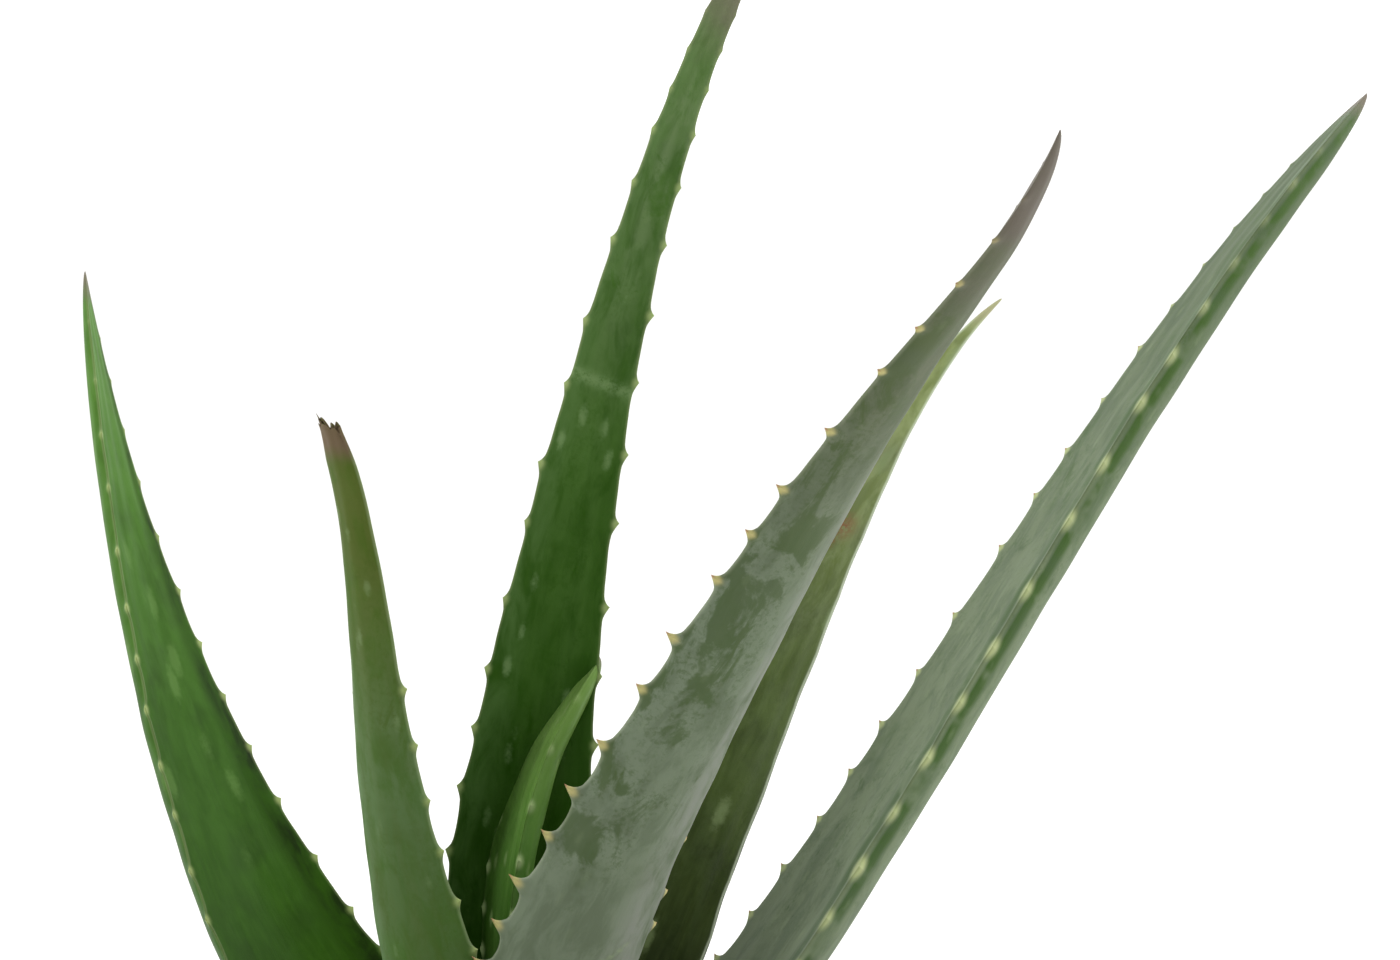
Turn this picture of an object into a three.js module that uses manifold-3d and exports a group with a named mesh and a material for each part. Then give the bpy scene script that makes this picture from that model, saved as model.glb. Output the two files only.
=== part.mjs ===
// A potted aloe: a plain terracotta pot, its soil, the short stem, and a rosette of thick toothed leaves.
// Millimetres, +Z up. The origin is on the pot's axis at its underside.

import * as THREE from 'three';
import { mergeVertices } from 'three/addons/utils/BufferGeometryUtils.js';
import Module from 'manifold-3d';

// ---- Driving dimensions ----

const POT_HEIGHT = 106;
const POT_RIM_DIAMETER = 130;
const POT_BASE_DIAMETER = 86;
const POT_WALL = 6;
const POT_FLOOR = 7;
const RIM_BAND_HEIGHT = 24;
const RIM_BAND_STEP = 4;
const POT_EDGE_ROUNDING = 2;
const DRAIN_HOLE_DIAMETER = 9;
const DRAIN_HOLE_COUNT = 3;
const DRAIN_RING_RADIUS = 22;

const HEADSPACE = 18;
const SOIL_MOUND = 3;
const MOUND_SPREAD = 0.55;

const STEM_RADIUS = 12;
const STEM_HEIGHT = 28;
const STEM_BURIED_DEPTH = 30;
const STEM_NECK_SHARE = 0.45;
const STEM_FOOT_RADIUS = 8.5;
const GROWING_POINT_RADIUS = 6;

const TOOTH_PITCH = 15;
const TOOTH_LENGTH = 2.2;
const TOOTH_HALF_BASE = 2.2;
const TOOTH_HOOK = 1.4;
const TOOTH_SHRINKING = 0.5;
const TOOTHLESS_BASE = 34;
const TOOTHLESS_TIP = 10;
const SHEATH_LENGTH = 42;
const SHEATH_THINNING = 0.55;
const TORN_TIP_DEPTH = 4;
const TIP_CLOSING_POWER = 24;
const OUTER_FACE_POWER = 1.2;
const LAST_SECTION_SHARE = 0.985;

const PIECE_GAP = 0.3;

const LATHE_STEPS = 48;
const SPINE_STEPS = 240;
const HOLE_STEPS = 16;

// Each leaf: where it leaves the stem (bearing seen from above, seat radius and rise above the soil), its
// length and greatest width, how its width tapers, how thick and how channelled it is as shares of the width,
// and how its lean from the vertical, its sideways sweep and its twist run from base to tip, in degrees.
const LEAVES = [
  {
    name: 'leaf_young_centre', bearing: 40, seatRadius: 2, seatRise: 25, length: 136, width: 24,
    taper: 0.3, tipShare: 0.42, thickness: 0.34, channel: 0.11,
    lean: [-23, -3, 12, 24, 56], sweep: [8, 3, 2], twist: [19, 18], colour: 0x456323,
  },
  {
    name: 'leaf_tall_back', bearing: 95, seatRadius: 6, seatRise: 21, length: 333, width: 51,
    taper: 1.6, tipShare: 0.14, thickness: 0.25, channel: 0.12,
    lean: [7, 1, 2, 14, 31], sweep: [8, -18, -7.5, -29], twist: [0, -22], colour: 0x33551a,
  },
  {
    name: 'leaf_torn_tip', bearing: 212, seatRadius: 8, seatRise: 15, length: 212, width: 42,
    taper: 1.5, tipShare: 0.25, thickness: 0.28, channel: 0.12,
    lean: [12, 26, 13, -2, 31], sweep: [-5, 6, 17], twist: [-31, -5], colour: 0x4c6632, tornTip: true,
  },
  {
    name: 'leaf_front', bearing: -55, seatRadius: 9, seatRise: 15, length: 335, width: 40,
    taper: 0.5, tipShare: 0.16, thickness: 0.28, channel: 0.12,
    lean: [-8, 50, 33, 2, 75, 45], sweep: [-11, 21, 15, -13], twist: [35, -47], colour: 0x6c785e,
  },
  {
    name: 'leaf_right_inner', bearing: 20, seatRadius: 9, seatRise: 13, length: 272, width: 39,
    taper: 1.1, tipShare: 0.07, thickness: 0.24, channel: 0.12,
    lean: [17, 31, 36, 18, 60], sweep: [1, 9, 18], twist: [-44, -27], colour: 0x4c5a36,
  },
  {
    name: 'leaf_far_left', bearing: 155, seatRadius: 8, seatRise: 11, length: 283, width: 56,
    taper: 0.77, tipShare: 0.1, thickness: 0.28, channel: 0.12,
    lean: [55, 37, 28, 23, 18], sweep: [3, -13, -13], twist: [41, -28], colour: 0x3d5a1f,
  },
  {
    name: 'leaf_far_right', bearing: 32, seatRadius: 9, seatRise: 7, length: 372, width: 35,
    taper: 0.34, tipShare: 0.12, thickness: 0.4, channel: 0.05,
    lean: [38, 30, 32, 37, 56], sweep: [-19, -5, 4], twist: [0, 22], colour: 0x6f7b60,
  },
  {
    name: 'leaf_low_front', bearing: 258, seatRadius: 8, seatRise: 10, length: 165, width: 38,
    taper: 0.8, tipShare: 0.1, thickness: 0.3, channel: 0.12,
    lean: [48, 66, 62, 44], sweep: [0, 5], twist: [0, 4], colour: 0x5f7048,
  },
  {
    name: 'leaf_low_right', bearing: 348, seatRadius: 8, seatRise: 8, length: 160, width: 38,
    taper: 0.8, tipShare: 0.1, thickness: 0.3, channel: 0.12,
    lean: [52, 74, 74, 60], sweep: [0, -6], twist: [0, -5], colour: 0x5f7048,
  },
  {
    name: 'leaf_low_back_left', bearing: 122, seatRadius: 8, seatRise: 8, length: 150, width: 38,
    taper: 0.8, tipShare: 0.1, thickness: 0.3, channel: 0.12,
    lean: [50, 76, 78, 64], sweep: [0, -4], twist: [0, 4], colour: 0x566b3c,
  },
  {
    name: 'leaf_low_back_right', bearing: 68, seatRadius: 8, seatRise: 7, length: 150, width: 36,
    taper: 0.8, tipShare: 0.1, thickness: 0.3, channel: 0.12,
    lean: [48, 68, 70, 58], sweep: [0, 6], twist: [0, -4], colour: 0x566b3c,
  },
  {
    name: 'leaf_low_left', bearing: 190, seatRadius: 8, seatRise: 7, length: 150, width: 38,
    taper: 0.8, tipShare: 0.1, thickness: 0.3, channel: 0.12,
    lean: [50, 70, 70, 52], sweep: [0, 5], twist: [0, 4], colour: 0x566b3c,
  },
];

// ---- Solids ----

const wasm = await Module();
wasm.setup();

function toSolid(geometry) {
  const bare = geometry.clone();
  bare.deleteAttribute('normal');
  bare.deleteAttribute('uv');
  const merged = mergeVertices(bare, 1e-4);
  return new wasm.Manifold(new wasm.Mesh({
    numProp: 3,
    vertProperties: new Float32Array(merged.attributes.position.array),
    triVerts: new Uint32Array(merged.index.array),
  }));
}

function toGeometry(solid) {
  const mesh = solid.getMesh();
  const geometry = new THREE.BufferGeometry();
  geometry.setAttribute('position', new THREE.BufferAttribute(mesh.vertProperties, 3));
  geometry.setIndex(new THREE.BufferAttribute(mesh.triVerts, 1));
  geometry.computeVertexNormals();
  return geometry;
}

// A cut can leave loose slivers beside a piece, so the piece is the largest body that remains.
function largestBody(solid) {
  const bodies = solid.decompose();
  return bodies.reduce((best, body) => (body.volume() > best.volume() ? body : best));
}

// A profile of [radius, height] pairs turned about the pot's axis.
function turned(profile) {
  const lathe = new THREE.LatheGeometry(profile.map(([r, z]) => new THREE.Vector2(r, z)), LATHE_STEPS);
  return toSolid(lathe.rotateX(Math.PI / 2));
}

// ---- Pot ----

const rimRadius = POT_RIM_DIAMETER / 2;
const baseRadius = POT_BASE_DIAMETER / 2;
const bandBottom = POT_HEIGHT - RIM_BAND_HEIGHT;
const wallTopRadius = rimRadius - RIM_BAND_STEP;

// The outer wall is a straight cone from the base to the rim band.
function outerWallRadius(z) {
  return baseRadius + (wallTopRadius - baseRadius) * (z / POT_HEIGHT);
}

function innerWallRadius(z) {
  return outerWallRadius(z) - POT_WALL;
}

function makePot() {
  const e = POT_EDGE_ROUNDING;
  let pot = turned([
    [0, 0],
    [baseRadius - e, 0],
    [baseRadius, e],
    [outerWallRadius(bandBottom), bandBottom],
    [rimRadius - e / 2, bandBottom],
    [rimRadius, bandBottom + e],
    [rimRadius, POT_HEIGHT - e],
    [rimRadius - e, POT_HEIGHT],
    [innerWallRadius(POT_HEIGHT) + e, POT_HEIGHT],
    [innerWallRadius(POT_HEIGHT), POT_HEIGHT - e],
    [innerWallRadius(POT_FLOOR + e), POT_FLOOR + e],
    [innerWallRadius(POT_FLOOR) - e, POT_FLOOR],
    [0, POT_FLOOR],
  ]);
  for (let i = 0; i < DRAIN_HOLE_COUNT; i += 1) {
    const angle = (2 * Math.PI * i) / DRAIN_HOLE_COUNT;
    const hole = new THREE.CylinderGeometry(
      DRAIN_HOLE_DIAMETER / 2, DRAIN_HOLE_DIAMETER / 2, 3 * POT_FLOOR, HOLE_STEPS,
    );
    hole.rotateX(Math.PI / 2);
    hole.translate(DRAIN_RING_RADIUS * Math.cos(angle), DRAIN_RING_RADIUS * Math.sin(angle), 0);
    pot = pot.subtract(toSolid(hole));
  }
  return pot;
}

// ---- Stem and soil ----

const soilWallHeight = POT_HEIGHT - HEADSPACE;
const soilTop = soilWallHeight + SOIL_MOUND;
const stemTop = soilTop + STEM_HEIGHT;
const stemBottom = soilTop - STEM_BURIED_DEPTH;

// The stem narrows to a blunt growing point. With grow it is that much fatter all round.
function makeStem(grow = 0) {
  const neck = soilTop + STEM_HEIGHT * STEM_NECK_SHARE;
  return turned([
    [0, stemBottom - grow],
    [STEM_FOOT_RADIUS + grow, stemBottom - grow],
    [STEM_RADIUS + grow, soilTop],
    [STEM_RADIUS + grow, neck],
    [GROWING_POINT_RADIUS + grow, stemTop - GROWING_POINT_RADIUS / 3],
    [GROWING_POINT_RADIUS / 2 + grow, stemTop + grow],
    [0, stemTop + grow],
  ]);
}

// The soil fills the pot and rises to a low mound at the stem. With grow its top is that much higher.
function makeSoil(grow = 0) {
  const bottom = POT_FLOOR + PIECE_GAP;
  const corner = POT_FLOOR + POT_EDGE_ROUNDING;
  return turned([
    [0, bottom],
    [innerWallRadius(bottom) - POT_EDGE_ROUNDING - PIECE_GAP, bottom],
    [innerWallRadius(corner) - PIECE_GAP, corner + PIECE_GAP],
    [innerWallRadius(soilWallHeight) - PIECE_GAP, soilWallHeight + grow],
    [innerWallRadius(soilWallHeight) * MOUND_SPREAD, soilWallHeight + SOIL_MOUND * MOUND_SPREAD + grow],
    [0, soilTop + grow],
  ]);
}

// ---- Leaves ----

const radians = THREE.MathUtils.degToRad;

// A smooth run of values from base (t = 0) to tip (t = 1), steered by its control values.
function blend(controls, t) {
  let row = controls;
  while (row.length > 1) {
    row = row.slice(1).map((value, i) => row[i] * (1 - t) + value * t);
  }
  return row[0];
}

// The leaf's own axes at t: along its length, across it, and out of its hollow inner face.
function leafAxes(leaf, t) {
  const lean = radians(blend(leaf.lean, t));
  const sweep = radians(blend(leaf.sweep, t));
  const twist = radians(blend(leaf.twist, t));
  const up = new THREE.Vector3(0, 0, 1);
  const bearing = radians(leaf.bearing);
  const along = new THREE.Vector3(
    Math.sin(lean) * Math.cos(sweep), Math.sin(sweep), Math.cos(lean) * Math.cos(sweep),
  ).applyAxisAngle(up, bearing);
  const across = new THREE.Vector3(
    -Math.sin(lean) * Math.sin(sweep), Math.cos(sweep), -Math.cos(lean) * Math.sin(sweep),
  ).applyAxisAngle(up, bearing);
  const inward = new THREE.Vector3(-Math.cos(lean), 0, Math.sin(lean)).applyAxisAngle(up, bearing);
  return {
    along,
    across: across.clone().multiplyScalar(Math.cos(twist)).addScaledVector(inward, -Math.sin(twist)),
    inward: inward.clone().multiplyScalar(Math.cos(twist)).addScaledVector(across, Math.sin(twist)),
  };
}

// The leaf's centre line, as evenly spaced points.
function leafSpine(leaf) {
  const bearing = radians(leaf.bearing);
  const point = new THREE.Vector3(
    leaf.seatRadius * Math.cos(bearing), leaf.seatRadius * Math.sin(bearing), soilTop + leaf.seatRise,
  );
  const spine = [point.clone()];
  for (let i = 0; i < SPINE_STEPS; i += 1) {
    point.addScaledVector(leafAxes(leaf, (i + 0.5) / SPINE_STEPS).along, leaf.length / SPINE_STEPS);
    spine.push(point.clone());
  }
  return spine;
}

function spinePoint(spine, t) {
  const place = Math.min(Math.max(t, 0), 1) * SPINE_STEPS;
  const i = Math.min(Math.floor(place), SPINE_STEPS - 1);
  return spine[i].clone().lerp(spine[i + 1], place - i);
}

function halfWidth(leaf, t) {
  const tapered = leaf.tipShare + (1 - leaf.tipShare) * (1 - t) ** leaf.taper;
  return (leaf.width / 2) * tapered * Math.sqrt(1 - t ** TIP_CLOSING_POWER);
}

// Distances along the leaf at which it has a section, each with how far the margin stands out there and how
// far it hooks towards the tip: three to a tooth, and plain ones over the sheath and at the tip.
function leafStations(leaf) {
  const stations = [0, SHEATH_LENGTH * 0.25, SHEATH_LENGTH * 0.5].map((s) => ({ s, out: 0, hook: 0 }));
  const last = leaf.length - TOOTHLESS_TIP;
  for (let s = TOOTHLESS_BASE; s < last; s += TOOTH_PITCH) {
    const shrink = 1 - TOOTH_SHRINKING * (s / leaf.length);
    stations.push({ s: s - TOOTH_HALF_BASE, out: 0, hook: 0 });
    stations.push({ s, out: TOOTH_LENGTH * shrink, hook: TOOTH_HOOK * shrink });
    stations.push({ s: s + TOOTH_HALF_BASE, out: 0, hook: 0 });
  }
  stations.push({ s: leaf.length * LAST_SECTION_SHARE, out: 0, hook: 0 });
  return stations.filter((station, i, all) => i === 0 || station.s > all[i - 1].s + 0.5);
}

// Angles round the section: the two margins, the hollow inner face between them, and the round outer face.
const SECTION_ANGLES = [0, 60, 120, 180, 216, 252, 288, 324].map(radians);

function leafSection(leaf, spine, station, grow) {
  const t = station.s / leaf.length;
  const axes = leafAxes(leaf, t);
  const centre = spinePoint(spine, t);
  const half = halfWidth(leaf, t);
  const sheath = THREE.MathUtils.smoothstep(station.s, 0, SHEATH_LENGTH);
  const thickness = leaf.thickness * 2 * half * (1 - SHEATH_THINNING * (1 - sheath));
  const channel = leaf.channel * (1 - t) * 2 * half;
  return SECTION_ANGLES.map((angle) => {
    const side = Math.cos(angle);
    const rise = Math.sin(angle);
    const isMargin = Math.abs(rise) < 1e-6;
    const roundness = Math.abs(rise) ** OUTER_FACE_POWER;
    const depth = rise > 0 ? -channel * rise ** 2 : -(thickness + channel) * roundness;
    const across = side * (half + grow) + (isMargin ? side * station.out : 0);
    const point = centre.clone().addScaledVector(axes.across, across);
    point.addScaledVector(axes.inward, depth + grow * (rise < -1e-6 ? rise : 1));
    point.addScaledVector(axes.along, isMargin ? station.hook : 0);
    return point;
  });
}

// A leaf as one closed skin over its sections. A torn tip ends in ragged points round a dip.
function makeLeaf(leaf, grow = 0) {
  const spine = leafSpine(leaf);
  const stations = leafStations(leaf);
  const rings = stations.map((station) => leafSection(leaf, spine, station, grow));
  const sides = SECTION_ANGLES.length;
  const end = leafAxes(leaf, 1).along;
  const start = leafAxes(leaf, 0).along;
  const tip = spinePoint(spine, 1).addScaledVector(end, grow);
  if (leaf.tornTip) {
    rings.at(-1).forEach((point, i) => point.addScaledVector(end, (i % 3) * TORN_TIP_DEPTH * 0.5));
    tip.addScaledVector(end, -TORN_TIP_DEPTH);
  }
  rings[0].forEach((point) => point.addScaledVector(start, -grow));
  const base = rings[0].reduce((sum, point) => sum.add(point), new THREE.Vector3()).divideScalar(sides);
  const positions = [...rings.flat(), base, tip].flatMap((point) => point.toArray());
  const baseIndex = rings.length * sides;
  const index = [];
  for (let k = 0; k < sides; k += 1) {
    const next = (k + 1) % sides;
    for (let i = 0; i < rings.length - 1; i += 1) {
      const a = i * sides + k;
      const b = i * sides + next;
      index.push(a, b, a + sides, b, b + sides, a + sides);
    }
    const lastRing = (rings.length - 1) * sides;
    index.push(baseIndex, next, k);
    index.push(baseIndex + 1, lastRing + k, lastRing + next);
  }
  const geometry = new THREE.BufferGeometry();
  geometry.setAttribute('position', new THREE.Float32BufferAttribute(positions, 3));
  geometry.setIndex(index);
  return toSolid(geometry);
}

// ---- The whole plant ----

const group = new THREE.Group();

function addPiece(name, solid, colour, roughness) {
  const material = new THREE.MeshStandardMaterial({ color: colour, roughness, metalness: 0 });
  const mesh = new THREE.Mesh(toGeometry(solid), material);
  mesh.name = name;
  group.add(mesh);
}

addPiece('pot', makePot(), 0xb06a48, 0.85);
addPiece('soil', makeSoil().subtract(makeStem(PIECE_GAP)), 0x3a2c22, 0.95);
addPiece('stem', makeStem(), 0x8a8a5c, 0.7);

// The leaves are listed from the youngest out, and each older leaf is cut back to clasp what it grows round.
let inside = makeStem(PIECE_GAP).add(makeSoil(PIECE_GAP));
for (const leaf of LEAVES) {
  addPiece(leaf.name, largestBody(makeLeaf(leaf).subtract(inside)), leaf.colour, 0.5);
  inside = inside.add(makeLeaf(leaf, PIECE_GAP));
}

export default group;
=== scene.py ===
"""A potted aloe: toothed, channelled leaves on a short stem, in gritty soil, in a plain terracotta pot.

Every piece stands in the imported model's own frame, in metres, and replaces the plain solid of the same name.
"""

import logging
import math
import random
from dataclasses import dataclass, field
from enum import Enum

import bpy
import numpy as np
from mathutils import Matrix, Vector


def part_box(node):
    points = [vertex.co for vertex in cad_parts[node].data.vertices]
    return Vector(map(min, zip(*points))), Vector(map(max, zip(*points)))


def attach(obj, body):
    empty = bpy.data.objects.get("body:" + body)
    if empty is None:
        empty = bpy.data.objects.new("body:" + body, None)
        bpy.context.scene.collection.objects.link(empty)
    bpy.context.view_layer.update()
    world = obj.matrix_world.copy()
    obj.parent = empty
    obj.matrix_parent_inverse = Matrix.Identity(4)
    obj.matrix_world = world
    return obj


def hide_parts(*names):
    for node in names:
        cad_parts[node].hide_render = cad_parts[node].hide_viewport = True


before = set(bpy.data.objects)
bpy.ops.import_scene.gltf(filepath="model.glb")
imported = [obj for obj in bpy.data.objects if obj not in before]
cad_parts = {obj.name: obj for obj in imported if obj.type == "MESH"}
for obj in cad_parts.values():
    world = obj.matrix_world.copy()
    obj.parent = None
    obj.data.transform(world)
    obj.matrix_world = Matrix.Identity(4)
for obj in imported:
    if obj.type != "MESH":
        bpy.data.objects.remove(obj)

log = logging.getLogger("aloe")

Array = np.ndarray
Material = bpy.types.Material
Piece = bpy.types.Object
Socket = bpy.types.NodeSocket
Tree = bpy.types.NodeTree

MM = 0.001
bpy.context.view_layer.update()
BODY = "root"
STEM_HEIGHT = 28.0
WELD_REACH = 0.004 * MM


# ---- Small helpers ----


def linear(colour: str) -> tuple[float, float, float, float]:
    """Turns an sRGB hex colour into the linear RGBA that sockets hold.

    Args:
        colour: six hex digits, such as "5c6850".

    Returns:
        The linear colour, with full alpha.
    """
    channels = [int(colour[i : i + 2], 16) / 255 for i in (0, 2, 4)]
    curve = [c / 12.92 if c <= 0.04045 else ((c + 0.055) / 1.055) ** 2.4 for c in channels]
    return (curve[0], curve[1], curve[2], 1.0)


def add_node(tree: Tree, kind: str, inputs: dict | None = None, **settings: object) -> bpy.types.Node:
    """Adds a node, sets its settings, and fills or links its inputs.

    Args:
        tree: the node tree to add to.
        kind: the shader node's type, such as "Math".
        inputs: socket name or number to a value, or to another node's output to link from.
        settings: the node's own properties.

    Returns:
        The new node.
    """
    node = tree.nodes.new("ShaderNode" + kind)
    for name, value in settings.items():
        setattr(node, name, value)
    for socket, value in (inputs or {}).items():
        if isinstance(value, Socket):
            tree.links.new(value, node.inputs[socket])
        else:
            node.inputs[socket].default_value = value
    return node


def deselect() -> None:
    """Clears the selection, because operators act on all that is selected."""
    if bpy.context.object and bpy.context.object.mode != "OBJECT":
        bpy.ops.object.mode_set(mode="OBJECT")
    bpy.ops.object.select_all(action="DESELECT")


def choose(piece: Piece) -> None:
    """Makes a piece the only selected and the active one."""
    deselect()
    piece.select_set(True)
    bpy.context.view_layer.objects.active = piece


def settle(piece: Piece) -> Piece:
    """Puts a piece's place into its mesh, so its object sits unturned at the origin, and returns it."""
    choose(piece)
    bpy.ops.object.transform_apply(location=True, rotation=True, scale=True)
    return piece


def apply_modifiers(piece: Piece) -> None:
    """Applies every modifier on a piece, first to last."""
    choose(piece)
    for modifier in list(piece.modifiers):
        bpy.ops.object.modifier_apply(modifier=modifier.name)


def hand_over(piece: Piece, node: str, finish: Material) -> None:
    """Dresses a piece and lets it stand for its plain solid.

    Args:
        piece: the finished piece.
        node: the plain solid that it replaces, or "" for a piece that stands beside the others.
        finish: the piece's material.
    """
    piece.data.materials.clear()
    piece.data.materials.append(finish)
    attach(piece, BODY)
    if node:
        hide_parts(node)
    log.info("%s: %d faces", piece.name, len(piece.data.polygons))


def rolled_grid(name: str, skin: Array, marks: dict[str, Array]) -> Piece:
    """Rolls a flat grid into a closed skin whose end columns meet and whose end rows close to a point.

    Args:
        name: the piece's name.
        skin: the surface's points, as rows by columns by 3. The last column repeats the first.
        marks: values at the same points, rows by columns or rows by columns by 3, kept as point attributes.

    Returns:
        The closed, smooth piece.
    """
    rows, columns = skin.shape[:2]
    deselect()
    bpy.ops.mesh.primitive_grid_add(x_subdivisions=columns - 1, y_subdivisions=rows - 1, size=1.0)
    piece = bpy.context.object
    piece.name = name
    mesh = piece.data
    mesh.name = name
    flat = np.empty(len(mesh.vertices) * 3)
    mesh.vertices.foreach_get("co", flat)
    flat = flat.reshape(-1, 3)
    column = np.rint((flat[:, 0] + 0.5) * (columns - 1)).astype(int)
    row = np.rint((flat[:, 1] + 0.5) * (rows - 1)).astype(int)
    mesh.vertices.foreach_set("co", skin[row, column].ravel())
    while mesh.uv_layers:
        mesh.uv_layers.remove(mesh.uv_layers[0])
    for label, values in marks.items():
        kind, key = ("FLOAT_VECTOR", "vector") if values.ndim == 3 else ("FLOAT", "value")
        attribute = mesh.attributes.new(label, kind, "POINT")
        attribute.data.foreach_set(key, values[row, column].astype(np.float32).ravel())
    bpy.ops.object.mode_set(mode="EDIT")
    bpy.ops.mesh.select_all(action="SELECT")
    bpy.ops.mesh.remove_doubles(threshold=WELD_REACH)
    bpy.ops.mesh.normals_make_consistent(inside=False)
    bpy.ops.object.mode_set(mode="OBJECT")
    bpy.ops.object.shade_smooth()
    return piece


def bezier(controls: list[float], t: Array) -> Array:
    """Runs smoothly through control values from base (t = 0) to tip (t = 1).

    Args:
        controls: the steering values, base first.
        t: where to read them.

    Returns:
        The value at each t.
    """
    row = [np.full_like(t, value, dtype=float) for value in controls]
    while len(row) > 1:
        row = [a * (1 - t) + b * t for a, b in zip(row, row[1:])]
    return row[0]


def smooth(value: Array, low: float, high: float) -> Array:
    """Rises smoothly from 0 at low to 1 at high."""
    x = np.clip((value - low) / (high - low), 0, 1)
    return x * x * (3 - 2 * x)

# ---- Finishes ----


@dataclass
class Painter:
    """Wires one node tree: reads marks, makes patterns, and lays coats of colour one over another."""

    tree: Tree

    @classmethod
    def of(cls, block: Material | bpy.types.World) -> "Painter":
        """Empties a material's or a world's nodes and returns the painter that fills them."""
        block.use_nodes = True
        block.node_tree.nodes.clear()
        return cls(block.node_tree)

    def mark(self, name: str) -> Socket:
        """Reads one of the mesh's own marks and returns its output."""
        return add_node(self.tree, "Attribute", attribute_name=name).outputs["Fac"]

    def calc(self, operation: str, first: object, second: object) -> Socket:
        """Works out one sum, such as "ADD" or "MAXIMUM", and returns its output."""
        return add_node(self.tree, "Math", {0: first, 1: second}, operation=operation).outputs[0]

    def times(self, first: object, second: object) -> Socket:
        """Multiplies two amounts and returns the product's output."""
        return self.calc("MULTIPLY", first, second)

    def ramp(self, value: object, low: float, high: float, start: float, end: float) -> Socket:
        """Turns a value into an even slope, start at low and end at high, and returns its output."""
        ends = {0: value, 1: low, 2: high, 3: start, 4: end}
        return add_node(self.tree, "MapRange", ends).outputs[0]

    def spread(self, value: object, low: float, high: float, most: float = 1.0) -> Socket:
        """Turns a value into a smooth amount that is 0 at low and most at high.

        Args:
            value: the output to read.
            low: where the amount is 0.
            high: where the amount is full. It may be under low.
            most: the full amount.

        Returns:
            The amount's output.
        """
        ends = {0: value, 1: low, 2: high, 3: 0.0, 4: most}
        if low > high:
            ends = {0: value, 1: high, 2: low, 3: most, 4: 0.0}
        return add_node(self.tree, "MapRange", ends, interpolation_type="SMOOTHSTEP").outputs[0]

    def stretched(self, place: object, scale: tuple[float, float, float]) -> Socket:
        """Scales coordinates, so that a pattern on them runs longer where the scale is small."""
        return add_node(self.tree, "Mapping", {"Vector": place, "Scale": scale}).outputs[0]

    def noise(
        self, place: Socket, size: float, detail: float, roughness: float = 0.55, distortion: float = 0.0
    ) -> Socket:
        """Adds a noise pattern.

        Args:
            place: the coordinates' output, in metres.
            size: the pattern's largest blotch, in millimetres.
            detail: how many finer layers it has.
            roughness: how strong the finer layers are.
            distortion: how far the pattern swirls.

        Returns:
            The pattern's output, about 0 to 1.
        """
        inputs = {
            "Vector": place, "Scale": 1 / (size * MM), "Detail": detail, "Roughness": roughness,
            "Distortion": distortion,
        }
        return add_node(self.tree, "TexNoise", inputs).outputs[0]

    def coats(self, base: object, *layers: tuple[object, object]) -> Socket:
        """Lays coats of colour over a base, first to last.

        Args:
            base: the lowest colour, as a hex colour or an output.
            layers: each coat's amount from 0 to 1, and its hex colour or output.

        Returns:
            The last coat's output.
        """
        under = linear(base) if isinstance(base, str) else base
        for amount, hue in layers:
            over = linear(hue) if isinstance(hue, str) else hue
            mix = add_node(self.tree, "Mix", {0: amount, 6: under, 7: over}, data_type="RGBA")
            under = mix.outputs[2]
        return under

    def relief(self, strength: float, *patterns: tuple[object, float]) -> Socket:
        """Raises patterns one on another.

        Args:
            strength: how strongly they show.
            patterns: each pattern's output, and its height in millimetres.

        Returns:
            The raised surface's normal.
        """
        under = {}
        for pattern, height in patterns:
            inputs = {"Strength": strength, "Distance": height * MM, "Height": pattern, **under}
            under = {"Normal": add_node(self.tree, "Bump", inputs).outputs[0]}
        return under["Normal"]

    def surface(self, inputs: dict) -> None:
        """Ends the material in one principled shader with these inputs."""
        shader = add_node(self.tree, "BsdfPrincipled", inputs)
        add_node(self.tree, "OutputMaterial", {"Surface": shader.outputs[0]})


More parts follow.
